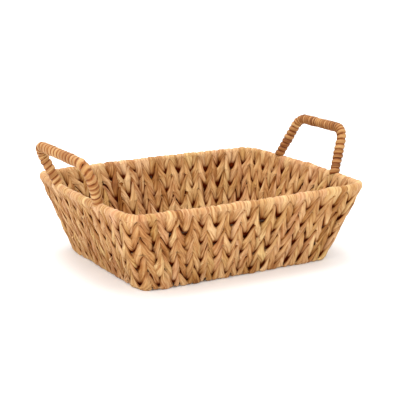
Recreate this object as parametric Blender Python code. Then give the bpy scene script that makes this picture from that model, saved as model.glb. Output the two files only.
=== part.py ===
"""Rectangular bread basket: flat strands twined over a welded wire cage, with two fixed loop handles.

Frame: metres, +Z up, origin on the table under the middle of the base. +X runs along the long side,
-Y is the front. Run it with: blender --background --python part.py

The cage is a rim ring, three wall rings and a base ring, held by four corner uprights, seven base wires
and three ribs that run down the front wall, under the base wires and up the back wall. Each handle is
a bent rod whose legs run down inside an end wall, with a cord wound round the part above the rim. The
weave is five closed panels bored for the wires: four walls that meet at the corners, and the base.
"""

import math

import bmesh
import bpy
from mathutils import Vector

# Each wall runs from the middle of one corner to the middle of the next.
FRONT, RIGHT, BACK, LEFT = range(4)
SIDE_ALONG = (Vector((1, 0)), Vector((0, 1)), Vector((-1, 0)), Vector((0, -1)))
SIDE_OUT = (Vector((0, -1)), Vector((1, 0)), Vector((0, 1)), Vector((-1, 0)))
CORNER_SHARE = 0.125  # the share of a wall's run that is half a corner
CORNER_STEPS = 2
STRAIGHT_STEPS = 4
WIRE_SIDES = 6

# Body, measured on the middle of the wall's thickness.
RIM_LENGTH = 0.330
RIM_WIDTH = 0.268
BASE_LENGTH = 0.2685
BASE_WIDTH = 0.2105
RIM_Z = 0.0980
BASE_Z = 0.0055
CORNER_RADIUS = 0.020
RIM_BOW = 0.0060  # how far the middle of each side stands out at the rim; none at the base

# Weave.
WALL_HALF = 0.0055  # half of the wall's thickness where strands pass over a ring
WALL_DIP = 0.0008  # how far the outer face stands back between two rings
BASE_TOP = 0.0095
GAP = 0.0003  # running gap between a wire and whatever surrounds it
PANEL_GAP = 0.0004

# Cage wires.
RING_RADIUS = 0.00125
EDGE_RING_RADIUS = 0.0016  # the rim ring and the base ring are thicker
UPRIGHT_RADIUS = 0.00125
UPRIGHT_OFFSET = -0.0009  # uprights and ribs stand just inside the wall's middle, against the rings
WALL_RINGS = (("wall_ring_lower", 0.25), ("wall_ring_middle", 0.5), ("wall_ring_upper", 0.75))
EDGE_RING_OFFSET = UPRIGHT_OFFSET + UPRIGHT_RADIUS + GAP + EDGE_RING_RADIUS
RING_OFFSET = UPRIGHT_OFFSET + UPRIGHT_RADIUS + GAP + RING_RADIUS
RIB_SPACING = 0.076
RIB_NAMES = ("cross_rib_left", "cross_rib_middle", "cross_rib_right")
RIB_Z = 0.0023
RIB_BEND = 0.0040
RIB_BEND_STEPS = 4
BASE_WIRE_COUNT = 7
BASE_WIRE_SPACING = 0.0265

# Handles. Both were bent by hand: one is wider at its top than at its feet, the other is narrower.
ROD_RADIUS = 0.0020
ROD_OFFSET = EDGE_RING_OFFSET - EDGE_RING_RADIUS - ROD_RADIUS - GAP
HANDLE_FOOT_SPAN = {LEFT: 0.1151, RIGHT: 0.1320}
HANDLE_TOP_SPAN = {LEFT: 0.1547, RIGHT: 0.0984}
HANDLE_TOP_SHIFT = {LEFT: 0.0025, RIGHT: -0.0039}  # along the wall, from above the middle of the feet
HANDLE_TOP_Z = {LEFT: 0.1524, RIGHT: 0.1563}
HANDLE_LEAN = {LEFT: math.radians(23.0), RIGHT: math.radians(21.8)}
HANDLE_BEND = 0.018
FOOT_BEND = 0.030
HANDLE_BEND_STEPS = 6
ROD_LOW_SHARE = 0.04  # how far up the wall the rod's lower ends stand, as a share of its height
CORD_HALF_WIDTH = 0.0031
CORD_HALF_THICKNESS = 0.0014
CORD_PITCH = 0.0070
CORD_RADIUS = ROD_RADIUS + GAP + CORD_HALF_THICKNESS
CORD_START_Z = RIM_Z + 0.0088  # the lowest turn clears the rolled rim



def clear_scene():
    for obj in list(bpy.data.objects):
        bpy.data.objects.remove(obj, do_unlink=True)


def make_material(name, colour, roughness, metallic=0.0):
    material = bpy.data.materials.new(name)
    material.use_nodes = True
    shader = material.node_tree.nodes["Principled BSDF"]
    shader.inputs["Base Color"].default_value = (*colour, 1.0)
    shader.inputs["Roughness"].default_value = roughness
    shader.inputs["Metallic"].default_value = metallic
    return material


def make_object(name, mesh, material=None):
    obj = bpy.data.objects.new(name, mesh)
    if material:
        mesh.materials.append(material)
    bpy.context.collection.objects.link(obj)
    return obj


# Where things are on the walls.


def side_sizes(side, share_up):
    """Half of the wall's run and its distance from the middle, at a share of the height."""
    half_length = (BASE_LENGTH + (RIM_LENGTH - BASE_LENGTH) * share_up) / 2
    half_width = (BASE_WIDTH + (RIM_WIDTH - BASE_WIDTH) * share_up) / 2
    if side in (FRONT, BACK):
        return half_length, half_width
    return half_width, half_length


def outline_point(side, run, share_up):
    """A point on the middle of the wall. run goes from 0 at one corner's middle to 1 at the next's."""
    half_run, reach = side_sizes(side, share_up)
    straight = half_run - CORNER_RADIUS
    along, out = SIDE_ALONG[side], SIDE_OUT[side]
    if CORNER_SHARE <= run <= 1 - CORNER_SHARE:
        place = (run - 0.5) / (0.5 - CORNER_SHARE)
        bow = RIM_BOW * share_up * (1 - place**2)
        flat = along * (place * straight) + out * (reach + bow)
    else:
        end = -1 if run < 0.5 else 1
        into_corner = (abs(run - 0.5) - (0.5 - CORNER_SHARE)) / CORNER_SHARE
        angle = end * into_corner * math.pi / 4
        centre = along * (end * straight) + out * (reach - CORNER_RADIUS)
        flat = centre + CORNER_RADIUS * (math.sin(angle) * along + math.cos(angle) * out)
    return Vector((flat.x, flat.y, BASE_Z + (RIM_Z - BASE_Z) * share_up))


def wall_axes(side, run):
    """The wall's foot, and its upward and outward unit vectors, with the length from base to rim."""
    foot = outline_point(side, run, 0)
    rise = outline_point(side, run, 1) - foot
    step = 1e-4
    ahead = outline_point(side, min(run + step, 1), 0.5)
    behind = outline_point(side, max(run - step, 0), 0.5)
    up = rise.normalized()
    out = (ahead - behind).cross(up).normalized()
    return foot, up, out, rise.length


def wall_point(side, run, up_share, offset, past=0.0):
    """A point in the wall: a share of the way up it, offset outwards, and past that along the wall."""
    foot, up, out, length = wall_axes(side, run)
    return foot + up * (length * up_share + past) + out * offset


def run_at(side, distance, share_up):
    """The run of a wall that lies a signed distance along it from its middle."""
    straight = side_sizes(side, share_up)[0] - CORNER_RADIUS
    return 0.5 + distance / straight * (0.5 - CORNER_SHARE)


def wall_runs():
    """The runs at which a wall is divided, corner to corner."""
    first = [CORNER_SHARE * i / CORNER_STEPS for i in range(CORNER_STEPS)]
    step = (1 - 2 * CORNER_SHARE) / STRAIGHT_STEPS
    straight = [CORNER_SHARE + step * i for i in range(STRAIGHT_STEPS + 1)]
    return first + straight + [1 - run for run in reversed(first)]


# Wires.


def wire(name, points, radius, material=None, closed=False):
    """A round wire along a list of points, as one closed mesh."""
    curve = bpy.data.curves.new(name, "CURVE")
    curve.dimensions = "3D"
    curve.bevel_depth = radius
    curve.bevel_resolution = WIRE_SIDES // 2 - 2
    curve.use_fill_caps = not closed
    spline = curve.splines.new("POLY")
    spline.points.add(len(points) - 1)
    for place, point in zip(spline.points, points):
        place.co = (*point, 1.0)
    spline.use_cyclic_u = closed
    helper = bpy.data.objects.new(name + "_curve", curve)
    bpy.context.collection.objects.link(helper)
    bpy.context.view_layer.update()
    mesh = bpy.data.meshes.new_from_object(helper.evaluated_get(bpy.context.evaluated_depsgraph_get()))
    bpy.data.objects.remove(helper)
    shape = bmesh.new()
    shape.from_mesh(mesh)
    bmesh.ops.remove_doubles(shape, verts=shape.verts, dist=1e-6)
    bmesh.ops.recalc_face_normals(shape, faces=shape.faces)
    shape.to_mesh(mesh)
    shape.free()
    mesh.name = name
    mesh.shade_smooth()
    mesh.set_sharp_from_angle(angle=math.radians(65))
    return make_object(name, mesh, material)


def wire_and_bore(name, points, radius, material, closed=False):
    """Makes a wire, and returns the cutter for the bore that it lies in."""
    wire(name, points, radius, material, closed)
    bore_points = list(points)
    if not closed:
        bore_points[0] = points[0] + (points[0] - points[1]).normalized() * GAP
        bore_points[-1] = points[-1] + (points[-1] - points[-2]).normalized() * GAP
    bore = wire(name + "_bore", bore_points, radius + GAP, closed=closed)
    bore.hide_render = True
    bore.display_type = "WIRE"
    return bore


def rounded_path(corners, radii, steps):
    """The corner points with each inner corner replaced by an arc of the given radius."""
    path = [corners[0]]
    for before, corner, after, radius in zip(corners, corners[1:], corners[2:], radii):
        back = (before - corner).normalized()
        on = (after - corner).normalized()
        half_turn = (math.pi - back.angle(on)) / 2
        inward = (back + on).normalized()
        centre = corner + inward * (radius / math.cos(half_turn))
        middle = -inward
        side = (on - inward * on.dot(inward)).normalized()
        for i in range(steps + 1):
            angle = half_turn * (2 * i / steps - 1)
            path.append(centre + radius * (middle * math.cos(angle) + side * math.sin(angle)))
    path.append(corners[-1])
    return path


def ring_points(share_up, offset):
    points = []
    for side in (FRONT, RIGHT, BACK, LEFT):
        points += [wall_point(side, run, share_up, offset) for run in wall_runs()[:-1]]
    return points


def make_rings(material):
    """The rim ring, three wall rings and the base ring, with their bores."""
    rings = [("rim_ring", 1.0, EDGE_RING_OFFSET, EDGE_RING_RADIUS)]
    rings += [(name, share, RING_OFFSET, RING_RADIUS) for name, share in reversed(WALL_RINGS)]
    rings += [("base_ring", 0.0, EDGE_RING_OFFSET, EDGE_RING_RADIUS)]
    return [wire_and_bore(name, ring_points(share, offset), radius, material, closed=True)
            for name, share, offset, radius in rings]


def make_corner_uprights(material):
    """An upright at the middle of each corner, from the base ring to the rim ring."""
    names = {FRONT: "corner_upright_front_left", RIGHT: "corner_upright_front_right",
             BACK: "corner_upright_back_right", LEFT: "corner_upright_back_left"}
    bores = []
    for side, name in names.items():
        ends = [wall_point(side, 0, share, UPRIGHT_OFFSET) for share in (0, 1)]
        bores.append(wire_and_bore(name, ends, UPRIGHT_RADIUS, material))
    return bores


def rib_points(x):
    """Down the front wall inside the rings, along under the base wires and up the back wall."""
    top = wall_point(FRONT, run_at(FRONT, x, 1), 1, UPRIGHT_OFFSET)
    foot = wall_point(FRONT, run_at(FRONT, x, 0), 0, UPRIGHT_OFFSET)
    corner = top + (foot - top) * ((top.z - RIB_Z) / (top.z - foot.z))
    half = [top, corner]
    for point in half:
        point.x = x
    corners = half + [Vector((x, -point.y, point.z)) for point in reversed(half)]
    return rounded_path(corners, [RIB_BEND, RIB_BEND], RIB_BEND_STEPS)


def make_ribs(material):
    return [wire_and_bore(name, rib_points((i - 1) * RIB_SPACING), UPRIGHT_RADIUS, material)
            for i, name in enumerate(RIB_NAMES)]


def make_base_wires(material):
    """Straight wires that lie on the ribs, from one end of the base ring to the other."""
    end = BASE_LENGTH / 2 + EDGE_RING_OFFSET - EDGE_RING_RADIUS - 2 * GAP
    z = RIB_Z + UPRIGHT_RADIUS + GAP + RING_RADIUS
    bores = []
    for i in range(BASE_WIRE_COUNT):
        y = (i - (BASE_WIRE_COUNT - 1) / 2) * BASE_WIRE_SPACING
        ends = [Vector((-end, y, z)), Vector((end, y, z))]
        bores.append(wire_and_bore(f"base_wire_{i + 1}", ends, RING_RADIUS, material))
    return bores


# Handles.


def handle_path(side):
    """The rod's middle line: up inside the wall, out through the rim, over and down again."""
    along = SIDE_ALONG[side].to_3d()
    legs = []
    for end in (-1, 1):
        distance = end * HANDLE_FOOT_SPAN[side] / 2
        low = wall_point(side, run_at(side, distance, ROD_LOW_SHARE), ROD_LOW_SHARE, ROD_OFFSET)
        rim = wall_point(side, run_at(side, distance, 1), 1, ROD_OFFSET)
        rise = HANDLE_TOP_Z[side] - rim.z
        out = SIDE_OUT[side].to_3d() * math.tan(HANDLE_LEAN[side]) * rise
        spread = end * (HANDLE_TOP_SPAN[side] - HANDLE_FOOT_SPAN[side]) / 2 + HANDLE_TOP_SHIFT[side]
        legs.append([low, rim, rim + out + along * spread + Vector((0, 0, rise))])
    corners = legs[0] + legs[1][::-1]
    return rounded_path(corners, [FOOT_BEND, HANDLE_BEND, HANDLE_BEND, FOOT_BEND], HANDLE_BEND_STEPS)


def resample(points, spacing):
    """Points at even spacing along a path, with the path's direction at each."""
    lengths = [0.0]
    for a, b in zip(points, points[1:]):
        lengths.append(lengths[-1] + (b - a).length)
    count = max(2, round(lengths[-1] / spacing))
    samples, piece = [], 0
    for i in range(count + 1):
        at = lengths[-1] * i / count
        while piece < len(points) - 2 and lengths[piece + 1] < at:
            piece += 1
        a, b = points[piece], points[piece + 1]
        samples.append(a + (b - a) * ((at - lengths[piece]) / (lengths[piece + 1] - lengths[piece])))
    return samples


def make_cord(name, side, material):
    """A flat cord wound round the rod above the rim. It narrows inside a bend, as a wound cord does."""
    steps_per_turn = 6
    section_sides = 6
    path = resample(handle_path(side), CORD_PITCH / steps_per_turn)
    path = [point for point in path if point.z > CORD_START_Z]
    flat = (path[-1] - path[0]).normalized()
    facing = flat.cross(path[len(path) // 2] - path[0]).normalized()
    mesh = bpy.data.meshes.new(name)
    shape = bmesh.new()
    rings = []
    for i in range(1, len(path) - 1):
        tangent = (path[i + 1] - path[i - 1]).normalized()
        turn = (path[i + 1] - 2 * path[i] + path[i - 1]) / (path[i + 1] - path[i]).length ** 2
        across = tangent.cross(facing).normalized()
        angle = 2 * math.pi * i / steps_per_turn
        radial = math.cos(angle) * facing + math.sin(angle) * across
        squeeze = 1 - min(max(turn.dot(radial) * CORD_RADIUS, -0.35), 0.35)
        ring = []
        for k in range(section_sides):
            around = 2 * math.pi * k / section_sides
            out = CORD_RADIUS + CORD_HALF_THICKNESS * math.cos(around)
            shift = CORD_HALF_WIDTH * squeeze * math.sin(around)
            ring.append(shape.verts.new(path[i] + radial * out + tangent * shift))
        rings.append(ring)
    for a, b in zip(rings, rings[1:]):
        for k in range(section_sides):
            n = (k + 1) % section_sides
            shape.faces.new((a[k], a[n], b[n], b[k]))
    shape.faces.new(rings[0][::-1])
    shape.faces.new(rings[-1])
    bmesh.ops.recalc_face_normals(shape, faces=shape.faces)
    shape.to_mesh(mesh)
    shape.free()
    mesh.shade_smooth()
    mesh.set_sharp_from_angle(angle=math.radians(50))
    return make_object(name, mesh, material)


def make_handles(rod_material, cord_material):
    bores = []
    for side, word in ((LEFT, "left"), (RIGHT, "right")):
        bores.append(wire_and_bore("handle_rod_" + word, handle_path(side), ROD_RADIUS, rod_material))
        make_cord("handle_cord_" + word, side, cord_material)
    return bores


# Weave.


def wall_section():
    """The wall's section as (share up, offset, past) triples, anticlockwise: out over each ring and in
    between rings on the outer face, a rolled rim, a flat inner face and a rolled foot."""
    outer = []
    rows = len(WALL_RINGS) + 1
    for i in range(2 * rows + 1):
        dip = WALL_DIP if i % 2 else 0
        outer.append((i / (2 * rows), WALL_HALF - dip, 0.0))
    rolls = 3
    rim, foot = [], []
    for i in range(1, rolls):
        angle = math.pi * i / rolls
        rim.append((1.0, WALL_HALF * math.cos(angle), WALL_HALF * math.sin(angle)))
        foot.append((0.0, -WALL_HALF * math.cos(angle), -WALL_HALF * math.sin(angle)))
    inner = [(1.0, -WALL_HALF, 0.0), (0.0, -WALL_HALF, 0.0)]
    return outer + rim + inner + foot


def loft(name, rings, material):
    """A closed solid through rings of points, with flat ends."""
    mesh = bpy.data.meshes.new(name)
    shape = bmesh.new()
    rows = [[shape.verts.new(point) for point in ring] for ring in rings]
    count = len(rings[0])
    for a, b in zip(rows, rows[1:]):
        for k in range(count):
            n = (k + 1) % count
            shape.faces.new((a[k], a[n], b[n], b[k]))
    shape.faces.new(rows[0])
    shape.faces.new(rows[-1][::-1])
    bmesh.ops.recalc_face_normals(shape, faces=shape.faces)
    shape.to_mesh(mesh)
    shape.free()
    mesh.shade_smooth()
    mesh.set_sharp_from_angle(angle=math.radians(40))
    return make_object(name, mesh, material)


def cut(obj, cutters):
    for cutter in cutters:
        boolean = obj.modifiers.new(cutter.name, "BOOLEAN")
        boolean.operation = "DIFFERENCE"
        boolean.object = cutter


def make_wall(name, side, bores, material):
    """One wall, from the middle of one corner to the middle of the next, less a small gap."""
    section = wall_section()
    runs = wall_runs()
    rings = []
    for run in runs:
        ring = [wall_point(side, run, share, offset, past) for share, offset, past in section]
        pull = {runs[0]: 1, runs[-1]: -1}.get(run, 0) * PANEL_GAP / 2
        along = SIDE_ALONG[side].to_3d()
        rings.append([point + along * pull for point in ring])
    wall = loft(name, rings, material)
    cut(wall, bores)
    return wall


def make_base(bores, material):
    """A flat panel inside the base ring, with rounded corners."""
    inset = WALL_HALF + PANEL_GAP
    edge = []
    for side in (FRONT, RIGHT, BACK, LEFT):
        for run in wall_runs()[:-1]:
            place = outline_point(side, run, 0)
            ahead = outline_point(side, run + 1e-4, 0)
            out = (ahead - place).cross(Vector((0, 0, 1))).normalized()
            edge.append(place - out * inset)
    rings = [[Vector((p.x, p.y, z)) for p in edge] for z in (0.0, BASE_TOP)]
    base = loft("weave_base", rings, material)
    cut(base, bores)
    return base


def main():
    clear_scene()
    steel = make_material("painted_steel", (0.16, 0.11, 0.07), 0.5, 0.6)
    strand = make_material("dried_strand", (0.58, 0.38, 0.20), 0.75)
    cord = make_material("handle_cord", (0.55, 0.34, 0.17), 0.7)
    rings = make_rings(steel)
    uprights = make_corner_uprights(steel)
    ribs = make_ribs(steel)
    base_wires = make_base_wires(steel)
    rod_left, rod_right = make_handles(steel, cord)
    bores_by_side = {
        FRONT: rings + uprights[:2] + ribs,
        RIGHT: rings + uprights[1:3] + base_wires + [rod_right],
        BACK: rings + uprights[2:] + ribs,
        LEFT: rings + [uprights[3], uprights[0]] + base_wires + [rod_left],
    }
    names = {FRONT: "weave_front", RIGHT: "weave_right", BACK: "weave_back", LEFT: "weave_left"}
    for side, name in names.items():
        make_wall(name, side, bores_by_side[side], strand)
    make_base(base_wires + ribs, strand)


main()
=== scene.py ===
"""Looks of a woven bread basket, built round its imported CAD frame.

Units are metres, +Z up. Each wall is made of columns. A column is one flat plant strand folded over the
rim ring, and its outer and inner halves twine round each other and round every ring on the way down.
Neighbouring columns twine opposite ways, which gives the rows of V shapes. The base is made of pairs
that twine in the same way round the base wires, and a strand is wound round each handle's rod.

A point of a wall has three coordinates: c counts columns along it from its middle, s is the distance
down from the rim ring, and n is the distance out from the middle of the wall's thickness. A leaf is the
part of a strand that shows between two crossings.
"""

import math

import bpy
import numpy as np
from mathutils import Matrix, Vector

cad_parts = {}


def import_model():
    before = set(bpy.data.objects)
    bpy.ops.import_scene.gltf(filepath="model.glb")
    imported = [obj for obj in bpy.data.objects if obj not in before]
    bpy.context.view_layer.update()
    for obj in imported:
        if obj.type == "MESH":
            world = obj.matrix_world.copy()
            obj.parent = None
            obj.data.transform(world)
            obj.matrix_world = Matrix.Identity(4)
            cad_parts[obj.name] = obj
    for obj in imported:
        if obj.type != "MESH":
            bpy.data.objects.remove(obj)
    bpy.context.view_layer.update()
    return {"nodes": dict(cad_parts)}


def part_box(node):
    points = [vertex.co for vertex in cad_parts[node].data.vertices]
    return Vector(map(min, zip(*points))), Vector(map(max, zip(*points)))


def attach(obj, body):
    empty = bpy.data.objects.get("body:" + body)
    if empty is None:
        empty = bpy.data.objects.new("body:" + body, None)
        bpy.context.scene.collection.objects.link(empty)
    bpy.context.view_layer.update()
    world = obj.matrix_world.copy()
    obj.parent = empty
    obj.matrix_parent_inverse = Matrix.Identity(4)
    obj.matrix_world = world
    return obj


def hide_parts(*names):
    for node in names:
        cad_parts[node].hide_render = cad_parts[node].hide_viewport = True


SEED = 7

# Body, as in the CAD source.
CORNER_RADIUS = 0.020
RIM_BOW = 0.006
EDGE_RING_OFFSET = 0.00225
BASE_WIRE_COUNT = 7
ROD_RADIUS = 0.0020
HANDLE_FOOT_SPAN = {"left": 0.1151, "right": 0.1320}
HANDLE_TOP_SPAN = {"left": 0.1547, "right": 0.0984}
HANDLE_TOP_SHIFT = {"left": 0.0025, "right": -0.0039}
HANDLE_LEAN = {"left": math.radians(23.0), "right": math.radians(21.8)}
HANDLE_BEND = 0.018

SIDE_ALONG = np.array([(1, 0), (0, 1), (-1, 0), (0, -1)], float)
SIDE_OUT = np.array([(0, -1), (1, 0), (0, 1), (-1, 0)], float)
SIDE_NAMES = ("front", "right", "back", "left")

# Layout of the wall weave.
ROWS = 4  # spaces between rings, rim to base
CORNER_COLUMNS = 3
SIDE_COLUMNS = (26, 20, 26, 20)  # on the straight part of the front, right, back and left walls
RIM_FOLD = 0.011  # how far down the wall the broad fold over the rim reaches
TUCK = 0.012  # how far a strand's end runs in under the base
STEP = 0.0022  # between two sections of a strand
RIM_STATIONS = 9
BEND_STATIONS = 7

# Section of a twined pair.
HALF_PITCHES = 0.57  # half width, in column pitches
HALF_DEPTH = 0.0053  # half thickness over a ring
HALF_DEPTH_CROSSING = 0.0048
SQUARENESS = 2.2
RIM_SPREAD = 0.12  # a strand is wider by this share of a pitch at the rim
EDGE_ROUNDING = 0.17  # how far a strand's long edges fall back, as a share of its radius
EDGE_POWER = 3
RIM_ROUNDING = 0.04
OVERLAP = 0.0003  # how far the two strands of a pair run into each other
ARC_POINTS = 25
FLAT_POINTS = 3

# How a pair turns.
LINGER = 0.85  # 0 for a pair that turns evenly, 1 for one whose strands cross in straight lines
BLUNT = 0.08  # how much of a crossing is saved up for its end, which makes a leaf's lower end blunt
BLUNT_POWER = 6
LEAF_SLOPE = 0.36  # sideways run of a leaf down the wall

# A leaf's trailing edge sinks as it dives behind its partner, and its leading edge is squeezed outwards
# as it comes up beside it. Phases are angles, edges are shares of the leaf's half width.
SINK_PHASE, SINK_SPREAD, SINK = 2.40, 0.38, 0.60
SINK_EDGE, SINK_EDGE_WIDTH = 0.30, 0.6
LEAD_PHASE, LEAD_SPREAD, LEAD = 0.75, 0.5, 0.24
LEAD_EDGE, LEAD_EDGE_WIDTH = 0.1, 0.7

# Pleats.
PLEAT_COUNT = 4
PLEAT_REACH = 0.9
PLEAT_WANDER = 0.30
PLEAT_LENGTHS = (0.09, 0.04, 0.02)
PLEAT_STRENGTH = (0.2, 0.9)
PLEAT_STRENGTH_WANDER = 0.8
PLEAT_DEPTH = 0.08
PLEAT_WIDTH = 0.10
# The painted shade in a pleat, as a share of the full groove mark.
PLEAT_SHADE = 0.8
FAN_COUNT = 5
FAN_REACH = 0.75
FAN_JITTER = 0.12
FAN_STRENGTH = (0.3, 1.0)
FAN_WIDTH = 0.09
FAN_GATHER = 0.5  # how much closer together the rim's gathers are, one row down

# Irregularity. Lengths are standard deviations or amplitudes; the others are shares.
WANDER_LENGTHS = (0.06, 0.025, 0.011)
WANDER_FALL = 1.5  # the first wave is divided by this, the next by one more, and so on
KNOT_MARGIN = 1  # spare knots past the base at each end of a strand
COLUMN_DELAY = 0.0028  # how far down a whole column's crossings are late
DELAY = 0.0020
SWAY = 0.0011  # how far a strand strays sideways
SWAY_WANDER = 0.0003
WIDTH_SPREAD = 0.10
SWELL = 0.10
SWELL_WANDER = 0.012
SHADE = 0.17
RIM_PALE = 0.20  # how much paler the rim's fold is
TINT = 0.22
HUE_RANGE = (0.3, 0.7)
NUMBER_RANGE = 0.1
DARK_SHARE, DARK_TONES = 0.10, (0.30, 0.45)
TAN_SHARE, TAN_TONES = 0.75, (0.50, 0.66)
PALE_TONES = (0.66, 0.80)

# Shading that follows the weave.
TAIL_SHADE = 0.60  # how much darker a leaf's two ends are, where they run under their neighbours: painted shade, with some dirt
TAIL_START, TAIL_LENGTH = 0.50, 0.40  # in rows from the leaf's middle
CREST_FADE = 0.65  # how much of its painted shade a leaf loses where it comes out at the top of a V's arm
CREST_START, CREST_WIDTH = 0.45, 0.9
# Painted shade along a strand's long edges: it starts this share of the way out from the middle and is full
# after this share more.
EDGE_GROOVE, EDGE_GROOVE_WIDTH = 0.72, 0.28

# Cut ends.
CUT_SHARE = 0.45  # the share of the columns of V feet that have one
CUT_LEVEL = 0.10  # how far above a ring it pokes out, in rows
CUT_RINGS = 6
CUT_POINTS = 12
CUT_RIM = (0.75, 0.2)
CUT_REACH = (1.0, 0.99)
CUT_START = 0.0010
CUT_LENGTH = (0.0046, 0.0066)
CUT_DROP = (0.0010, 0.0035)
CUT_ASIDE = 0.0015
CUT_TILT = 0.5
CUT_HALF_WIDTH = (0.0013, 0.0018)
CUT_HALF_THICK = 0.0011
CUT_DEPTHS = (0.3, 0.7)  # depth mark at the root, and what it gains by the tip, so the root gets painted shade
CUT_FACE_SHADE, CUT_SHADE = -0.5, 0.15

# Base weave.
BASE_STEP = 0.0033
BASE_HALF_DEPTH = 0.0047
BASE_PITCH = 0.0096
BASE_END_INSET = 0.004
BASE_SIDE_INSET = 0.008
BASE_WANDER = 0.03
BASE_SWELL = 0.02
BASE_SHADE = 0.12
BASE_TINT = 0.2

# Handle cords.
CORD_STEP = 0.0003
CORD_POINTS = 16
CORD_COVER = 1.12  # width of the cord, in pitches
CORD_THICK = 0.0040
CORD_LIFT = 0.0042  # from the rod's middle line to the cord's
CORD_START = 0.002  # how far above the rim ring the winding starts
CORD_LEG_PITCH = {"right": 0.0066, "left": 0.0070}
CORD_BAR_PITCH = {"right": 0.0044, "left": 0.0090}
CORD_TONE = {"right": 0.34, "left": 0.44}
CORD_SQUARENESS = (0.9, 0.8)
CORD_BULGE = 0.25
CORD_SQUEEZE = 0.4
BAR_FROM, BAR_OVER = 0.4, 0.5
BEND_STEPS = 12
PITCH_WANDER, PITCH_LENGTHS = 0.07, (0.04, 0.017, 0.009)
LIFT_WANDER, LIFT_LENGTHS = 0.00022, (0.031, 0.013, 0.007)
CORD_WIDTH_WANDER, CORD_THICK_WANDER, CORD_LENGTHS = 0.04, 0.10, (0.05, 0.02, 0.01)
CORD_SHADE_WANDER, CORD_TINT_WANDER = 0.12, 0.15
CORD_WAVES = ((0.10, 0.37, 1), (0.08, 0.93, 0))  # size, waves per turn and start of its shade
# The cord's inner side against the rod gets a low depth mark and so painted shade; its edges between turns
# get painted groove shade.
CORD_HIDDEN, CORD_HIDDEN_DEPTH = -0.2, 0.2
CORD_GROOVE, CORD_GROOVE_WIDTH = 0.35, 0.4

# Colours.
HUE_STOPS = (
    (0.0, (1.0, 0.94, 1.03)),
    (0.5, (1.0, 1.0, 0.98)),
    (1.0, (0.98, 1.03, 0.88)),
)
TAN_STOPS = (
    (0.0, (0.18, 0.058, 0.009)),
    (0.22, (0.32, 0.133, 0.034)),
    (0.45, (0.442, 0.226, 0.083)),
    (0.70, (0.532, 0.310, 0.134)),
    (1.0, (0.65, 0.420, 0.212)),
)
# Each noise of a strand has a scale across, along and between strands, a detail and a roughness.
STREAK_NOISE = (0.5, 0.03, 1.0), 3.0, 0.6
HAIR_NOISE = (2.2, 0.07, 1.0), 3.0, 0.65
STAIN_NOISE = (0.10, 0.05, 1.0), 2.0, 0.5
NOISE_RANGE = (0.3, 0.7)  # what is left of a noise's own range of 0 to 1, once its rare ends are cut
HAIR_RANGE = (0.35, 0.65)
STREAK_TONE, STAIN_TONE = (-0.26, 0.26), (-0.09, 0.09)
HAIR_SHADE = (0.74, 1.12)
# Painted shade in pleats and along strand edges: the colour multiplied in, and how much of it.
GROOVE_SHADE_COLOUR, GROOVE_SHADE_AMOUNT = (0.52, 0.28, 0.12), 0.95
STRAND_ROUGHNESS = (0.50, 0.72)
STRAND_SPECULAR, SPECULAR_DEPTHS = (0.0, 0.22), (0.75, 1.0)  # only a strand's open face shines
STREAK_HEIGHT, HAIR_HEIGHT = 0.9, 0.4
STRAND_BUMP, STRAND_BUMP_DISTANCE = 0.8, 0.0009
# Painted shade for crevices: the colour a strand is multiplied by where its depth mark is low, and the depth
# marks over which it comes in, for the weave and for the cords.
WEAVE_CREVICE_SHADE, WEAVE_CREVICE_SHADE_RANGE = (0.16, 0.030, 0.001), (0.34, 0.92)
CORD_CREVICE_SHADE, CORD_CREVICE_SHADE_RANGE = (0.30, 0.09, 0.01), (0.40, 0.85)
# The wire's own brown paint, darkened into painted shade so that where it shows between the strands it reads
# as shade.
WIRE_PAINT_AND_SHADE_STOPS = (
    (0.35, (0.022, 0.009, 0.004)),
    (0.62, (0.045, 0.020, 0.009)),
    (0.75, (0.080, 0.040, 0.018)),
)
PAINT_NOISE = 160.0, 4.0, 0.55
PAINT_SPECULAR = 0.15
PAINT_ROUGHNESS = (0.55, 0.8)
PAINT_BUMP, PAINT_BUMP_DISTANCE = 0.3, 0.0002
FLOOR_STOPS = (
    (0.0, (0.87, 0.87, 0.87)),
    (1.0, (0.91, 0.91, 0.91)),
)
FLOOR_NOISE = 3.0, 3.0, 0.55
FLOOR_ROUGHNESS = 0.9
FLOOR_HALF = 6.0

# Light. Each lamp has a place, a size, a power and a colour.
WORLD_LIGHT = 1.2
WORLD_SEEN = 1.2
LIGHT_TARGET = (0, 0, 0.05)
LIGHTS = {
    "top": ((0.0, 0.2, 1.7), 1.3, 22, (1.0, 0.99, 0.97)),
    "front": ((-0.5, -1.7, 0.9), 0.7, 12.5, (1.0, 0.98, 0.95)),
    "left": ((-1.7, -0.4, 0.8), 0.9, 10, (1.0, 0.98, 0.95)),
}

# Camera: a standing viewer in front of the left corner, with a long lens.
CAMERA_AZIMUTH = math.radians(-30.16)
CAMERA_ELEVATION = math.radians(14.85)
CAMERA_DISTANCE = 1.4323
CAMERA_LENS = 99.27
CAMERA_SENSOR = 36.0
CAMERA_TARGET_Z = 0.0517
AIM_RIGHT = 0.00224
AIM_UP = 0.0202


# The body's shape.


def read_body():
    """Half sizes and heights of the wall's middle surface at the rim and at the base, from the rings."""
    rim_low, rim_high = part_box("rim_ring")
    base_low, base_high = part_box("base_ring")
    radius = (rim_high.z - rim_low.z) / 2
    rim = np.array([rim_high.x, rim_high.y]) - radius - RIM_BOW
    base = np.array([base_high.x, base_high.y]) - radius
    rise = (rim_high.z + rim_low.z - base_high.z - base_low.z) / 2
    lean = np.arctan((rim - base) / rise)
    return {
        "rim": rim - EDGE_RING_OFFSET * np.cos(lean),
        "base": base - EDGE_RING_OFFSET * np.cos(lean),
        "rim_z": (rim_high.z + rim_low.z) / 2 + EDGE_RING_OFFSET * math.sin(lean.mean()),
        "base_z": (base_high.z + base_low.z) / 2 + EDGE_RING_OFFSET * math.sin(lean.mean()),
        "length": rise / math.cos(lean.mean()),
        "lean": lean.mean(),
    }


def side_axis(side):
    """0 for the walls that run along X, 1 for the walls that run along Y."""
    return side % 2


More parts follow.
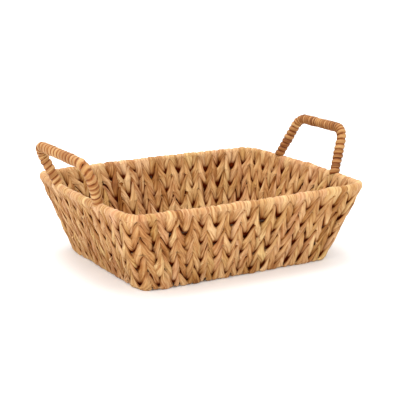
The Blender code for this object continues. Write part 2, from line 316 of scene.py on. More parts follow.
def wall_map(body, side, c, s, n):
    """World positions of wall points. c, s and n are arrays of one shape."""
    share = 1 - s / body["length"]
    axis = side_axis(side)
    run = body["base"][axis] + (body["rim"][axis] - body["base"][axis]) * share
    reach = body["base"][1 - axis] + (body["rim"][1 - axis] - body["base"][1 - axis]) * share
    straight = run - CORNER_RADIUS
    half_count = SIDE_COLUMNS[side] / 2
    place = np.clip(c / half_count, -1, 1)
    bow = RIM_BOW * np.clip(share, 0, 1) * (1 - place**2)
    angle = (c - np.clip(c, -half_count, half_count)) / (CORNER_COLUMNS / 2) * (math.pi / 4)
    along = place * straight + CORNER_RADIUS * np.sin(angle)
    out = reach + bow - CORNER_RADIUS * (1 - np.cos(angle))
    rise = body["rim_z"] - body["base_z"]
    grow_along = (body["rim"][axis] - body["base"][axis]) * np.abs(np.sin(angle))
    grow_out = (body["rim"][1 - axis] - body["base"][1 - axis]) * np.cos(angle)
    lean = (grow_along + grow_out) / rise
    level = n / np.sqrt(1 + lean**2)
    along = along + level * np.sin(angle)
    out = out + level * np.cos(angle)
    z = body["base_z"] + rise * share - level * lean
    flat = along[..., None] * SIDE_ALONG[side] + out[..., None] * SIDE_OUT[side]
    return np.concatenate([flat, z[..., None]], axis=-1)


def column_pitch(body, side, c, s):
    """Distance between neighbouring columns, at the middle of the wall's thickness."""
    if abs(c) > SIDE_COLUMNS[side] / 2:
        return np.full_like(s, CORNER_RADIUS * math.pi / 2 / CORNER_COLUMNS)
    axis = side_axis(side)
    share = 1 - s / body["length"]
    run = body["base"][axis] + (body["rim"][axis] - body["base"][axis]) * share
    return (run - CORNER_RADIUS) * 2 / SIDE_COLUMNS[side]


# Swept strands.


MARKS = {
    "tone": ("FLOAT", "value"),  # 0 dark strand, 1 pale
    "hue": ("FLOAT", "value"),  # 0 pinkish, 1 straw
    "depth": ("FLOAT", "value"),  # 0 buried in the weave, 1 on its face; the lower it is, the more painted shade for crevices
    "groove": ("FLOAT", "value"),  # 1 in a pleat or at a strand's edge, where painted shade darkens it
    "fibre": ("FLOAT_VECTOR", "vector"),  # across, along, strand number, in millimetres
}
MILLIMETRES = 1000


class Bundle:
    """Collects swept strands into one mesh, with what the materials read from each point."""

    def __init__(self):
        self.points, self.faces, self.marks = [], [], {name: [] for name in MARKS}
        self.count = 0

    def add(self, points, marks):
        """points is rings by profile by 3. Each ring is joined to the next, and both ends are closed."""
        rings, sides = points.shape[:2]
        index = self.count + np.arange(rings * sides).reshape(rings, sides)
        after = np.roll(index, -1, axis=1)
        quads = np.stack([index[:-1], after[:-1], after[1:], index[1:]], axis=-1)
        self.faces += quads.reshape(-1, 4).tolist()
        self.faces += [index[0, ::-1].tolist(), index[-1].tolist()]
        self.points.append(points.reshape(-1, 3))
        for name, values in marks.items():
            self.marks[name].append(values.reshape(rings * sides, -1))
        self.count += rings * sides

    def make(self, name, material, replaced):
        """The piece made of every strand added so far, in place of one CAD node."""
        mesh = bpy.data.meshes.new(name)
        mesh.from_pydata(np.concatenate(self.points).tolist(), [], self.faces)
        for mark, (kind, key) in MARKS.items():
            attribute = mesh.attributes.new(mark, kind, "POINT")
            attribute.data.foreach_set(key, np.concatenate(self.marks[mark]).astype(np.float32).ravel())
        mesh.shade_smooth()
        mesh.materials.append(material)
        obj = bpy.data.objects.new(name, mesh)
        bpy.context.scene.collection.objects.link(obj)
        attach(obj, "root")
        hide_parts(replaced)


def add_strand(rng, bundle, made, tone):
    """Add one strand with its own number, hue and tone."""
    shape = made["points"].shape[:2]
    along = np.broadcast_to(made["along"][:, None], shape)
    number = np.full(shape, rng.uniform(0, NUMBER_RANGE))
    bundle.add(made["points"], {
        "tone": np.broadcast_to((tone + made["shade"])[:, None], shape),
        "hue": np.broadcast_to((rng.uniform(*HUE_RANGE) + made["tint"])[:, None], shape),
        "depth": made["depth"],
        "groove": np.broadcast_to(made["groove"], shape),
        "fibre": np.stack([made["across"], along, number], axis=-1) * MILLIMETRES,
    })


def strand_tone(rng):
    """Most strands are tan, some are pale, some are red-brown."""
    kind = rng.uniform()
    if kind < DARK_SHARE:
        return rng.uniform(*DARK_TONES)
    if kind < DARK_SHARE + TAN_SHARE:
        return rng.uniform(*TAN_TONES)
    return rng.uniform(*PALE_TONES)


def ease(value):
    """0 below 0, 1 above 1, and a smooth rise between them."""
    value = np.clip(value, 0, 1)
    return value * value * (3 - 2 * value)


def wander(rng, along, size, lengths=WANDER_LENGTHS):
    """A smooth random offset along a strand."""
    total = np.zeros_like(along)
    for i, length in enumerate(lengths):
        total += np.sin(along * 2 * math.pi / length + rng.uniform(0, 2 * math.pi)) / (i + WANDER_FALL)
    return total * size


def knots(rng, place, size):
    """A random offset that changes smoothly from one ring crossing to the next."""
    values = rng.normal(0, size, 2 * (ROWS + KNOT_MARGIN + 1))
    place = place + ROWS + KNOT_MARGIN
    index = np.floor(place).astype(int)
    blend = ease(place - index)
    return values[index] * (1 - blend) + values[index + 1] * blend


# Section of a twined pair.


def section_angles():
    """Half a turn over a strand's rounded open face. Its flat back lies against its partner."""
    return np.linspace(-math.pi / 2, math.pi / 2, ARC_POINTS)


def twist(count):
    """The angle a pair has turned through after a count of rings."""
    whole = np.floor(count)
    share = count - whole
    crossed = share + BLUNT * (share**BLUNT_POWER - share)
    straight = math.pi * whole + np.arccos(1 - 2 * crossed)
    return math.pi * count * (1 - LINGER) + straight * LINGER


def half_section(phase, turn, half_width, half_depth):
    """The open face of one strand of a pair: angle round the pair's axis, and distance from it."""
    angle = phase[:, None] + turn
    wide = np.abs(np.sin(angle)) / half_width[:, None]
    deep = np.abs(np.cos(angle)) / half_depth[:, None]
    return angle, (wide**SQUARENESS + deep**SQUARENESS) ** (-1 / SQUARENESS)


def twined_section(phase, turn, angle, radius, hand, rounding):
    """One strand of a twined pair: across the column, and out from the pair's axis, ring by ring.

    turn is the angle round the pair's axis from the strand's middle, signed so that the side that trails
    down the wall is negative. rounding draws in the long edges.
    """
    share = turn / (math.pi / 2)
    radius = radius * (1 - rounding[:, None] * np.abs(share) ** EDGE_POWER)
    half_turn = phase % math.pi
    dive = np.exp(-(((half_turn - SINK_PHASE) / SINK_SPREAD) ** 2))[:, None]
    rise = np.exp(-(((half_turn - LEAD_PHASE) / LEAD_SPREAD) ** 2))[:, None]
    sunk = SINK * dive * ease((-share - SINK_EDGE) / SINK_EDGE_WIDTH)
    raised = LEAD * rise * ease((share - LEAD_EDGE) / LEAD_EDGE_WIDTH)
    radius = radius * (1 - sunk + raised)
    across = -hand * np.sin(angle) * radius
    out = np.cos(angle) * radius
    first = np.stack([across[:, -1], out[:, -1]], axis=-1)
    last = np.stack([across[:, 0], out[:, 0]], axis=-1)
    inward = -OVERLAP * np.stack([-hand * np.sin(phase), np.cos(phase)], axis=-1)
    flat = np.stack([first * (1 - k) + last * k + inward for k in back_shares()], axis=1)
    return np.concatenate([across, flat[..., 0]], axis=1), np.concatenate([out, flat[..., 1]], axis=1)


def back_shares():
    """Where the points of a strand's hidden flat back lie between its two long edges."""
    return np.linspace(0, 1, FLAT_POINTS + 2)[1:-1]


def with_back(values):
    """Values over a strand's open face, carried on over its back."""
    back = values[:, -1:] * (1 - back_shares()) + values[:, :1] * back_shares()
    return np.concatenate([values, back], axis=1)


# Pleats and shading.


def leaf_middle(lift, place):
    """The ring count at the middle of the leaf that a point belongs to."""
    inner = np.where(lift > 0, 0, 1)
    return 2 * np.round((place[:, None] - inner) / 2) + inner


def leaf_share(u, lift, place, hand, row, half_width):
    """How far across its leaf a point lies, -1 to 1. A leaf leans to one side on its way past a ring."""
    lean = np.where(lift > 0, hand, -hand) * LEAF_SLOPE
    return (u + lean * (place[:, None] - leaf_middle(lift, place)) * row) / half_width[:, None]


def tail(lift, place):
    """0 over most of a leaf, 1 at its two ends, where it runs under its neighbours."""
    return ease((np.abs(place[:, None] - leaf_middle(lift, place)) - TAIL_START) / TAIL_LENGTH)


def crest(u, lift, hand, half_width):
    """1 where a leaf comes out at the top of a V's arm, 0 where it dives at the V's foot."""
    return ease((np.sign(lift) * hand * u / half_width[:, None] + CREST_START) / CREST_WIDTH)


def pleats(rng, along, share):
    """Lengthwise folds over a strand: how deep each point lies in one, from 0 to 1."""
    total = np.zeros_like(share)
    for _ in range(PLEAT_COUNT):
        middle = rng.uniform(-PLEAT_REACH, PLEAT_REACH) + wander(rng, along, PLEAT_WANDER, PLEAT_LENGTHS)
        strength = rng.uniform(*PLEAT_STRENGTH) + wander(rng, along, PLEAT_STRENGTH_WANDER)
        fold = np.exp(-(((share - middle[:, None]) / PLEAT_WIDTH) ** 2))
        total += np.clip(strength, 0, 1)[:, None] * fold
    return np.clip(total, 0, 1)


def fan_pleats(rng, share):
    """Fine gathers where a strand folds over the rim. They run together down the wall."""
    total = np.zeros_like(share)
    middles = np.linspace(-FAN_REACH, FAN_REACH, FAN_COUNT) + rng.uniform(-FAN_JITTER, FAN_JITTER, FAN_COUNT)
    for middle in middles:
        total += rng.uniform(*FAN_STRENGTH) * np.exp(-(((share - middle) / FAN_WIDTH) ** 2))
    return np.clip(total, 0, 1)


def grooves(pleat, crested):
    """Where painted shade falls: 0 on a strand's open face, 1 in its pleats and along its edges, which fade
    where it is crested.
    """
    edge = np.clip((np.abs(np.linspace(-1, 1, ARC_POINTS)) - EDGE_GROOVE) / EDGE_GROOVE_WIDTH, 0, 1)
    edge = edge[None, :] * (1 - CREST_FADE * crested[:, :ARC_POINTS])
    return with_back(np.maximum(edge, PLEAT_SHADE * pleat))


# Wall strands.


class WallPath:
    """Where a column's sections lie: up the inside, over the rim, down the outside, in under the base."""

    def __init__(self, body):
        length = body["length"]
        self.row = length / ROWS
        self.lean = body["lean"]
        self.low = math.pi / 2 - body["lean"]
        down = np.arange(0, length, STEP)
        over = np.linspace(0, math.pi, RIM_STATIONS)
        bend = np.linspace(0, self.low, BEND_STATIONS)
        parts = (down[:0:-1], over, down[1:], bend, np.arange(STEP, TUCK, STEP))
        part = np.repeat(np.arange(len(parts)), [len(values) for values in parts])
        self.value = np.concatenate(parts)
        self.inside, self.rim, self.outside, self.bend, self.tuck = (part == i for i in range(len(parts)))
        self.s = np.where(self.inside | self.outside, self.value, np.where(self.rim, 0, length))
        self.along = np.arange(len(self.s)) * STEP
        self.place = np.where(self.inside, -1, 1) * self.s / self.row
        self.folded = ease(1 - self.s / RIM_FOLD)  # 1 at the rim
        self.free = ease(self.s / self.row * 2) * ease((length - self.s) / self.row * 2)  # 0 at both ends

    def count(self, delay):
        """Rings passed by each section. A delay pushes the crossings down between the rim and the base."""
        passed = (self.s - delay * self.free) / self.row + np.where(self.inside, 1, 0)
        return np.where(self.rim | self.bend | self.tuck, 0, passed)

    def wall_points(self, body, side, centre, pitch, u, lift):
        """World positions of points u across the column and lift out from its axis."""
        level = np.where(self.bend, self.value, np.where(self.tuck, self.low, 0))
        turned = np.where(self.rim, math.pi - self.value, level)[:, None]
        slid = np.where(self.tuck, self.value, 0)[:, None]
        upward = np.where(self.rim, -1, 1)[:, None]
        s = self.s[:, None] + upward * lift * np.sin(turned) + slid * math.sin(self.lean)
        n = lift * np.cos(turned) - slid * math.cos(self.lean)
        points = wall_map(body, side, centre + u / pitch[:, None], s, n)
        points[..., 2] = np.maximum(points[..., 2], 0.0)
        return points


def wall_strand(rng, body, side, centre, hand, column_delay):
    """One column of a wall: a strand folded over the rim ring and twined with itself."""
    path = WallPath(body)
    count = path.count(column_delay + knots(rng, path.place, DELAY))
    phase = twist(count)
    pitch = column_pitch(body, side, centre, path.s)
    half_depth = HALF_DEPTH_CROSSING + (HALF_DEPTH - HALF_DEPTH_CROSSING) * np.cos(phase) ** 2
    sway = knots(rng, path.place, SWAY)
    spread = np.abs(knots(rng, path.place, WIDTH_SPREAD))
    half_width = pitch * (HALF_PITCHES + spread + RIM_SPREAD * path.folded) + np.abs(sway)
    turn = np.where(path.inside, -1.0, 1.0)[:, None] * section_angles()[None, :]
    angle, radius = half_section(phase, turn, half_width, half_depth)
    share = leaf_share(-hand * np.sin(angle) * radius, np.cos(angle), count, hand, path.row, half_width)
    pleat = wall_pleats(rng, path, share)
    swell = 1 + knots(rng, path.place, SWELL) + wander(rng, path.along, SWELL_WANDER)
    radius = radius * (1 - PLEAT_DEPTH * pleat) * np.maximum(swell, path.folded)[:, None]
    rounding = EDGE_ROUNDING - RIM_ROUNDING * path.folded
    u, lift = twined_section(phase, turn, angle, radius, hand, rounding)
    near_face = ease(np.abs(lift) / HALF_DEPTH)
    u = u + near_face * (sway + wander(rng, path.along, SWAY_WANDER))[:, None]
    crested = crest(u, lift, hand, half_width)
    return {
        "points": path.wall_points(body, side, centre, pitch, u, lift),
        "depth": wall_depth(path, lift, count, crested),
        "across": with_back(share * half_width[:, None]),
        "along": path.along,
        "groove": grooves(pleat, crested),
        "shade": knots(rng, path.place, SHADE) + RIM_PALE * path.folded,
        "tint": knots(rng, path.place, TINT),
    }


def wall_pleats(rng, path, share):
    """A wall strand's own pleats, and its gathers down from the rim on the outside."""
    fan = share / (1 - FAN_GATHER * np.clip(path.s / path.row, 0, 1))[:, None]
    gathered = np.where(path.inside, 0, ease(1 - path.s / path.row))
    return np.maximum(pleats(rng, path.along, share), gathered[:, None] * fan_pleats(rng, fan))


def wall_depth(path, lift, count, crested):
    """The depth mark of a wall strand, which sets its painted shade: 0 on its back, up to 1 on its open
    face.
    """
    depth = np.abs(lift) / HALF_DEPTH * (1 - TAIL_SHADE * tail(lift, count))
    depth = depth + (1 - depth) * CREST_FADE * crested
    depth = np.where((path.inside | path.outside)[:, None], depth, 1.0)
    depth[:, ARC_POINTS:] = 0
    return depth


def cut_end(rng, body, side, c, s):
    """The cut end of a strand, poking out at the foot of a V and bent down a little."""
    reach = np.concatenate([np.linspace(0, 1, CUT_RINGS), CUT_REACH])
    inset = np.concatenate([np.ones(CUT_RINGS), CUT_RIM])
    n = CUT_START + reach * rng.uniform(*CUT_LENGTH)
    drop = reach**2 * rng.uniform(*CUT_DROP)
    aside = reach * rng.uniform(-CUT_ASIDE, CUT_ASIDE)
    turns = 2 * math.pi * np.arange(CUT_POINTS) / CUT_POINTS
    tilt = rng.uniform(-CUT_TILT, CUT_TILT)
    wide = rng.uniform(*CUT_HALF_WIDTH) * inset[:, None] * np.cos(turns)
    thick = CUT_HALF_THICK * inset[:, None] * np.sin(turns)
    u = aside[:, None] + wide * math.cos(tilt) - thick * math.sin(tilt)
    down = s + drop[:, None] + wide * math.sin(tilt) + thick * math.cos(tilt)
    pitch = column_pitch(body, side, c, np.array([s]))[0]
    shape = u.shape
    end_face = np.arange(shape[0]) > CUT_RINGS
    return {
        "points": wall_map(body, side, c + u / pitch, down, np.broadcast_to(n[:, None], shape)),
        "depth": np.broadcast_to((CUT_DEPTHS[0] + CUT_DEPTHS[1] * reach)[:, None], shape),
        "across": wide,
        "along": reach * CUT_LENGTH[1],
        "groove": np.broadcast_to(end_face[:, None] * 1.0, shape),
        "shade": np.where(end_face, CUT_FACE_SHADE, CUT_SHADE),
        "tint": np.zeros(shape[0]),
    }


def add_cut_ends(rng, bundle, body, side, centres, hands):
    """A few strands end at the foot of a V, where two leaning leaves part."""
    row = body["length"] / ROWS
    feet = [c + 0.5 for c, hand in zip(centres[:-1], hands) if hand < 0]
    for c in rng.choice(feet, int(len(feet) * CUT_SHARE), replace=False):
        s = (rng.integers(1, ROWS) - CUT_LEVEL) * row
        add_strand(rng, bundle, cut_end(rng, body, side, c, s), strand_tone(rng))


def weave_wall(rng, body, side, first_hand, material):
    """Weave one wall. Gives the hand of the next wall's first column."""
    bundle = Bundle()
    half = SIDE_COLUMNS[side] / 2
    centres = np.arange(-half - CORNER_COLUMNS / 2, half + 1, 1.0)
    hands = [first_hand if i % 2 == 0 else -first_hand for i in range(len(centres) + 1)]
    add_cut_ends(np.random.default_rng(SEED + side), bundle, body, side, centres, hands)
    for centre, hand in zip(centres, hands):
        made = wall_strand(rng, body, side, centre, hand, rng.normal(0, COLUMN_DELAY))
        add_strand(rng, bundle, made, strand_tone(rng))
    name = SIDE_NAMES[side]
    bundle.make("strands_" + name, material, "weave_" + name)
    return hands[-1]


# Base strands.


def base_strand(rng, x_middle, end, hand, wires, spacing, z_middle, first):
    """One of a twined pair that runs along Y across the base, under one wire and over the next."""
    y = np.arange(-end, end + BASE_STEP, BASE_STEP)
    count = (y - wires[0]) / spacing + (0 if first else 1) + wander(rng, y, BASE_WANDER)
    phase = twist(count)
    half_width = BASE_PITCH * HALF_PITCHES * (1 + wander(rng, y, BASE_WANDER))
    turn = np.broadcast_to(section_angles()[None, :], (len(y), ARC_POINTS))
    angle, radius = half_section(phase, turn, half_width, np.full_like(y, BASE_HALF_DEPTH))
    share = leaf_share(-hand * np.sin(angle) * radius, np.cos(angle), count, hand, spacing, half_width)
    pleat = pleats(rng, y, share)
    radius = radius * (1 - PLEAT_DEPTH * pleat) * (1 + wander(rng, y, BASE_SWELL))[:, None]
    u, out = twined_section(phase, turn, angle, radius, hand, np.full_like(y, EDGE_ROUNDING))
    z = np.maximum(z_middle - out, 0.0)
    crested = crest(u, out, hand, half_width)
    # The depth mark sets painted shade for crevices, which fades where a leaf comes out at the top of a V's
    # arm.
    depth = np.abs(out) / BASE_HALF_DEPTH
    depth = depth + (1 - depth) * CREST_FADE * crested
    depth[:, ARC_POINTS:] = 0
    return {
        "points": np.stack([x_middle + u, np.broadcast_to(y[:, None], u.shape), z], axis=-1),
        "depth": depth,
        "across": with_back(share * half_width[:, None]),
        "along": y + end,
        "groove": grooves(pleat, crested),
        "shade": wander(rng, y, BASE_SHADE),
        "tint": wander(rng, y, BASE_TINT),
    }


def weave_base(rng, body, material):
    """Twined pairs side by side across the base, each round all the base wires."""
    boxes = [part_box(f"base_wire_{i}") for i in range(1, BASE_WIRE_COUNT + 1)]
    wires = [(low.y + high.y) / 2 for low, high in boxes]
    spacing = (wires[-1] - wires[0]) / (len(wires) - 1)
    end = body["base"][1] - BASE_END_INSET
    half_count = int((body["base"][0] - BASE_SIDE_INSET) / BASE_PITCH)
    bundle = Bundle()
    for i in range(-half_count, half_count + 1):
        for first in (True, False):
            hand = 1 if i % 2 else -1
            made = base_strand(rng, i * BASE_PITCH, end, hand, wires, spacing, body["base_z"], first)
            add_strand(rng, bundle, made, strand_tone(rng))
    bundle.make("strands_base", material, "weave_base")


# Handles.


def rounded_path(corners, radius, steps):
    """A path through corners, with each inner corner rounded to a radius."""
    path = [corners[0]]
    for before, corner, after in zip(corners, corners[1:], corners[2:]):
        back = (before - corner).normalized()
        on = (after - corner).normalized()
        half_turn = (math.pi - back.angle(on)) / 2
        inward = (back + on).normalized()
        centre = corner + inward * (radius / math.cos(half_turn))
        sideways = (on - inward * on.dot(inward)).normalized()
        for i in range(steps + 1):
            angle = half_turn * (2 * i / steps - 1)
            path.append(centre + radius * (sideways * math.sin(angle) - inward * math.cos(angle)))
    path.append(corners[-1])
    return path


def handle_corners(word, body):
    """Foot, top, top and foot of the rod's middle line above the rim."""
    low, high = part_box("handle_rod_" + word)
    outward = 1 if word == "right" else -1
    top_x = (high.x if outward > 0 else -low.x) - ROD_RADIUS
    top_z = high.z - ROD_RADIUS
    foot_z = body["rim_z"] + CORD_START
    foot_x = top_x - (top_z - foot_z) * math.tan(HANDLE_LEAN[word])
    share = (foot_z - body["rim_z"]) / (top_z - body["rim_z"])
    feet, tops = [], []
    for end in (-1, 1):
        top_y = outward * HANDLE_TOP_SHIFT[word] + end * HANDLE_TOP_SPAN[word] / 2
        rim_y = end * HANDLE_FOOT_SPAN[word] / 2
        feet.append(Vector((outward * foot_x, rim_y + (top_y - rim_y) * share, foot_z)))
        tops.append(Vector((outward * top_x, top_y, top_z)))
    return [feet[0], tops[0], tops[1], feet[1]]


def handle_line(word, body):
    """The rod's middle line above the rim, from one foot to the other, at even steps."""
    path = np.array([list(p) for p in rounded_path(handle_corners(word, body), HANDLE_BEND, BEND_STEPS)])
    gaps = np.linalg.norm(np.diff(path, axis=0), axis=1)
    lengths = np.concatenate([[0], np.cumsum(gaps)])
    even = np.arange(0, lengths[-1], CORD_STEP)
    return np.stack([np.interp(even, lengths, path[:, i]) for i in range(3)], axis=1)


def cord_section():
    """The cord's section: flat inside, bulging outside, from -1 to 1 both ways."""
    turns = 2 * math.pi * np.arange(CORD_POINTS) / CORD_POINTS
    x = np.sign(np.cos(turns)) * np.abs(np.cos(turns)) ** CORD_SQUARENESS[0]
    y = np.sign(np.sin(turns)) * np.abs(np.sin(turns)) ** CORD_SQUARENESS[1]
    return x, y * (1 + CORD_BULGE * (1 - x**2))


def wound_points(rng, line, pitch, along):
    """Points of a cord wound round a line, the angle it has turned through, and its points' across."""
    tangent = np.gradient(line, axis=0)
    tangent /= np.linalg.norm(tangent, axis=1)[:, None]
    plane = np.cross(line[-1] - line[0], line[len(line) // 2] - line[0])
    plane /= np.linalg.norm(plane)
    aside = np.cross(tangent, plane)
    turn = np.cumsum(CORD_STEP / pitch) * 2 * math.pi
    radial = np.cos(turn)[:, None] * plane + np.sin(turn)[:, None] * aside
    lift = CORD_LIFT + wander(rng, along, LIFT_WANDER, LIFT_LENGTHS)
    width = pitch * CORD_COVER * (1 + wander(rng, along, CORD_WIDTH_WANDER, CORD_LENGTHS))
    thick = 1 + wander(rng, along, CORD_THICK_WANDER, CORD_LENGTHS)
    curve = np.gradient(tangent, axis=0) / CORD_STEP
    squeeze = 1 - np.clip((curve * radial).sum(axis=1) * CORD_LIFT, -CORD_SQUEEZE, CORD_SQUEEZE)
    x, y = cord_section()
    across = x[None, :] * (width * squeeze)[:, None] / 2
    through = y[None, :] * CORD_THICK / 2 * thick[:, None]
    raised = radial[:, None, :] * (lift[:, None] + through)[..., None]
    return line[:, None, :] + raised + tangent[:, None, :] * across[..., None], turn, across


def wind_cord(rng, word, body, material):
    """A strand wound closely round the rod, with one pitch on the legs and another on the bar."""
    line = handle_line(word, body)
    tangent = np.gradient(line, axis=0)
    tangent /= np.linalg.norm(tangent, axis=1)[:, None]
    along = np.arange(len(line)) * CORD_STEP
    on_bar = ease((np.abs(tangent[:, 1]) - BAR_FROM) / BAR_OVER)
    pitch = CORD_LEG_PITCH[word] + (CORD_BAR_PITCH[word] - CORD_LEG_PITCH[word]) * on_bar
    pitch = pitch * (1 + wander(rng, along, PITCH_WANDER, PITCH_LENGTHS))
    points, turn, across = wound_points(rng, line, pitch, along)
    x, y = cord_section()
    shade = sum(size * np.sin(turn * waves + start) for size, waves, start in CORD_WAVES)
    bundle = Bundle()
    add_strand(rng, bundle, {
        "points": points,
        # Painted shade on the cord's inner side and along its edges, between its turns.
        "depth": np.broadcast_to(np.where(y < CORD_HIDDEN, CORD_HIDDEN_DEPTH, 1.0)[None, :], across.shape),
        "across": across,
        "along": turn * CORD_LIFT,
        "groove": np.clip((np.abs(x) - CORD_GROOVE) / CORD_GROOVE_WIDTH, 0, 1)[None, :],
        "shade": shade + wander(rng, along, CORD_SHADE_WANDER),
        "tint": wander(rng, along, CORD_TINT_WANDER),
    }, CORD_TONE[word])
    bundle.make("cord_" + word, material, "handle_cord_" + word)


# Materials.


MIX_COLOUR_INPUTS, MIX_COLOUR_OUTPUT = (6, 7), 2  # a mix node's sockets for colours


class Nodes:
    """Adds nodes to a material and links them."""

    def __init__(self, name):
        self.material = bpy.data.materials.new(name)
        self.material.use_nodes = True
        self.tree = self.material.node_tree
        self.shader = self.tree.nodes["Principled BSDF"]

    def add(self, kind, inputs=None, **settings):
        node = self.tree.nodes.new(kind)
        for key, value in settings.items():
            setattr(node, key, value)
        for key, value in (inputs or {}).items():
            self.put(node, key, value)
        return node

    def put(self, node, key, value):
        if isinstance(value, bpy.types.NodeSocket):
            self.tree.links.new(value, node.inputs[key])
        else:
            node.inputs[key].default_value = value

    def math(self, operation, a, b):
        return self.add("ShaderNodeMath", {0: a, 1: b}, operation=operation).outputs[0]

    def scaled(self, value, source, result):
        """The value mapped from one range to another, and kept inside the second."""
        node = self.add("ShaderNodeMapRange", {"Value": value, "From Min": source[0], "From Max": source[1],
                                               "To Min": result[0], "To Max": result[1]})
        return node.outputs["Result"]

    def mark(self, name, output="Fac"):
        return self.add("ShaderNodeAttribute", attribute_name=name).outputs[output]

    def ramp(self, value, stops):
        node = self.add("ShaderNodeValToRGB", {"Fac": value})
        elements = node.color_ramp.elements
        elements[0].position, elements[0].color = stops[0][0], (*stops[0][1], 1)
        elements[1].position, elements[1].color = stops[-1][0], (*stops[-1][1], 1)
        for position, colour in stops[1:-1]:
            elements.new(position).color = (*colour, 1)
        return node.outputs["Color"]

    def mix(self, factor, a, b, blend="MIX"):
        node = self.add("ShaderNodeMix", data_type="RGBA", blend_type=blend)
        self.put(node, 0, factor)
        for key, value in zip(MIX_COLOUR_INPUTS, (a, b)):
            self.put(node, key, (*value, 1) if isinstance(value, tuple) else value)
        return node.outputs[MIX_COLOUR_OUTPUT]

    def noise(self, vector, scale, detail, roughness):
        node = self.add("ShaderNodeTexNoise", {"Vector": vector, "Scale": scale, "Detail": detail,
                                               "Roughness": roughness})
        return node.outputs["Fac"]

    def stretched_noise(self, vector, scale, detail, roughness):
        placed = self.add("ShaderNodeMapping", {"Vector": vector, "Scale": scale}).outputs["Vector"]
        return self.noise(placed, 1.0, detail, roughness)

    def bump(self, height, strength, distance):
        node = self.add("ShaderNodeBump", {"Height": height, "Strength": strength, "Distance": distance})
        self.put(self.shader, "Normal", node.outputs["Normal"])


def strand_material(name, crevice_shade, crevice_shade_range):
    """Dried plant strand: long fine fibres and slow stains, with painted shade where it dives behind its
    neighbour, in its pleats and along its edges.
    """
    kit = Nodes(name)
    fibre = kit.mark("fibre", "Vector")
    streak = kit.stretched_noise(fibre, *STREAK_NOISE)
    hair = kit.stretched_noise(fibre, *HAIR_NOISE)
    stain = kit.stretched_noise(fibre, *STAIN_NOISE)
    tone = kit.math("ADD", kit.mark("tone"), kit.scaled(streak, NOISE_RANGE, STREAK_TONE))
    tone = kit.math("ADD", tone, kit.scaled(stain, NOISE_RANGE, STAIN_TONE))
    colour = kit.mix(1.0, kit.ramp(tone, TAN_STOPS), kit.ramp(kit.mark("hue"), HUE_STOPS), "MULTIPLY")
    hairs = kit.scaled(hair, HAIR_RANGE, HAIR_SHADE)
    hair_grey = kit.add("ShaderNodeCombineColor", {"Red": hairs, "Green": hairs, "Blue": hairs})
    colour = kit.mix(1.0, colour, hair_grey.outputs["Color"], "MULTIPLY")
    # Painted shade: darker and redder where the depth mark is low, in the weave's crevices.
    deep = kit.scaled(kit.mark("depth"), crevice_shade_range, (1.0, 0.0))
    colour = kit.mix(deep, colour, kit.mix(1.0, colour, crevice_shade, "MULTIPLY"))
    # Painted shade in pleats and along the strands' edges.
    groove = kit.math("MULTIPLY", kit.mark("groove"), GROOVE_SHADE_AMOUNT)
    colour = kit.mix(groove, colour, kit.mix(1.0, colour, GROOVE_SHADE_COLOUR, "MULTIPLY"))
    kit.put(kit.shader, "Base Color", colour)
    kit.put(kit.shader, "Roughness", kit.scaled(streak, NOISE_RANGE, STRAND_ROUGHNESS))
    specular = kit.scaled(kit.mark("depth"), SPECULAR_DEPTHS, STRAND_SPECULAR)
    kit.put(kit.shader, "Specular IOR Level", specular)
    height = kit.math("MULTIPLY", streak, STREAK_HEIGHT)
    height = kit.math("ADD", height, kit.math("MULTIPLY", hair, HAIR_HEIGHT))
    kit.bump(height, STRAND_BUMP, STRAND_BUMP_DISTANCE)
    return kit.material


def paint_material():
    """Brown painted cage wire with rubbed patches, so dark that where it shows between the strands it stands
    in for shade.
    """
    kit = Nodes("wire_paint_and_shade")
    wear = kit.noise(kit.add("ShaderNodeTexCoord").outputs["Object"], *PAINT_NOISE)
    kit.put(kit.shader, "Base Color", kit.ramp(wear, WIRE_PAINT_AND_SHADE_STOPS))
    kit.put(kit.shader, "Specular IOR Level", PAINT_SPECULAR)
    kit.put(kit.shader, "Roughness", kit.scaled(wear, NOISE_RANGE, PAINT_ROUGHNESS))
    kit.bump(wear, PAINT_BUMP, PAINT_BUMP_DISTANCE)
    return kit.material


def floor_material():
    """Pale matt floor, very slightly uneven."""
    kit = Nodes("pale_floor")
    shade = kit.noise(kit.add("ShaderNodeTexCoord").outputs["Object"], *FLOOR_NOISE)
    kit.put(kit.shader, "Base Color", kit.ramp(shade, FLOOR_STOPS))
    kit.put(kit.shader, "Roughness", FLOOR_ROUGHNESS)
    return kit.material


def paint_cage(frame, material):
    """Paint every CAD node that stays: the rings, uprights, ribs, base wires and rods."""
    for name, obj in frame["nodes"].items():
        if not name.startswith(("weave_", "handle_cord_")):
            obj.data.materials.clear()
            obj.data.materials.append(material)
            for polygon in obj.data.polygons:
                polygon.use_smooth = True


# Stage.


def make_floor():
    mesh = bpy.data.meshes.new("floor")
    corners = [(-FLOOR_HALF, -FLOOR_HALF, 0), (FLOOR_HALF, -FLOOR_HALF, 0),
               (FLOOR_HALF, FLOOR_HALF, 0), (-FLOOR_HALF, FLOOR_HALF, 0)]
    mesh.from_pydata(corners, [], [(0, 1, 2, 3)])
    mesh.materials.append(floor_material())
    floor = bpy.data.objects.new("floor", mesh)
    bpy.context.scene.collection.objects.link(floor)


def aim(obj, place, target):
    obj.location = place
    obj.rotation_mode = "QUATERNION"
    obj.rotation_quaternion = (Vector(target) - Vector(place)).to_track_quat("-Z", "Y")


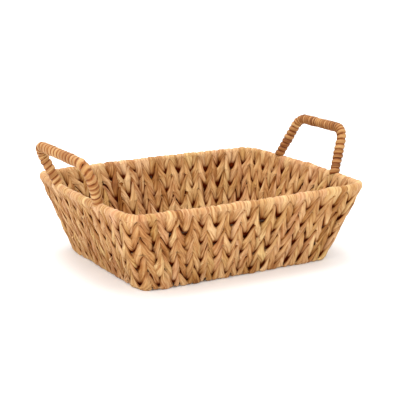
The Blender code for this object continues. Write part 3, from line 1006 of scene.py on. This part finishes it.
def make_world():
    """White surroundings, with one strength as a light and one as seen by the camera."""
    world = bpy.data.worlds.new("studio")
    world.use_nodes = True
    nodes, links = world.node_tree.nodes, world.node_tree.links
    background = nodes["Background"]
    background.inputs["Color"].default_value = (1.0, 1.0, 1.0, 1.0)
    background.inputs["Strength"].default_value = WORLD_LIGHT
    seen = nodes.new("ShaderNodeBackground")
    seen.inputs["Strength"].default_value = WORLD_SEEN
    rays = nodes.new("ShaderNodeLightPath")
    mix = nodes.new("ShaderNodeMixShader")
    links.new(rays.outputs["Is Camera Ray"], mix.inputs[0])
    links.new(background.outputs[0], mix.inputs[1])
    links.new(seen.outputs[0], mix.inputs[2])
    links.new(mix.outputs[0], nodes["World Output"].inputs["Surface"])
    bpy.context.scene.world = world


def make_lights():
    for name, (place, size, power, colour) in LIGHTS.items():
        data = bpy.data.lights.new(name, "AREA")
        data.shape = "DISK"
        data.size = size
        data.energy = power
        data.color = colour
        light = bpy.data.objects.new(name, data)
        bpy.context.scene.collection.objects.link(light)
        aim(light, place, LIGHT_TARGET)


def make_camera():
    back = Vector((math.sin(CAMERA_AZIMUTH) * math.cos(CAMERA_ELEVATION),
                   -math.cos(CAMERA_AZIMUTH) * math.cos(CAMERA_ELEVATION), math.sin(CAMERA_ELEVATION)))
    target = Vector((0, 0, CAMERA_TARGET_Z))
    right = Vector((0, 0, 1)).cross(back).normalized()
    data = bpy.data.cameras.new("camera")
    data.sensor_width = CAMERA_SENSOR
    data.lens = CAMERA_LENS
    camera = bpy.data.objects.new("camera", data)
    bpy.context.scene.collection.objects.link(camera)
    aim(camera, target + back * CAMERA_DISTANCE, target + right * AIM_RIGHT + Vector((0, 0, AIM_UP)))
    bpy.context.scene.camera = camera


def main():
    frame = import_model()
    rng = np.random.default_rng(SEED)
    body = read_body()
    strand = strand_material("dried_strand", WEAVE_CREVICE_SHADE, WEAVE_CREVICE_SHADE_RANGE)
    cord = strand_material("wound_cord", CORD_CREVICE_SHADE, CORD_CREVICE_SHADE_RANGE)
    paint_cage(frame, paint_material())
    hand = 1
    for side in range(len(SIDE_NAMES)):
        hand = weave_wall(rng, body, side, hand, strand)
    weave_base(rng, body, strand)
    wind_cord(rng, "right", body, cord)
    wind_cord(rng, "left", body, cord)
    make_floor()
    make_world()
    make_lights()
    make_camera()
    bpy.context.scene.view_settings.view_transform = "Standard"


main()
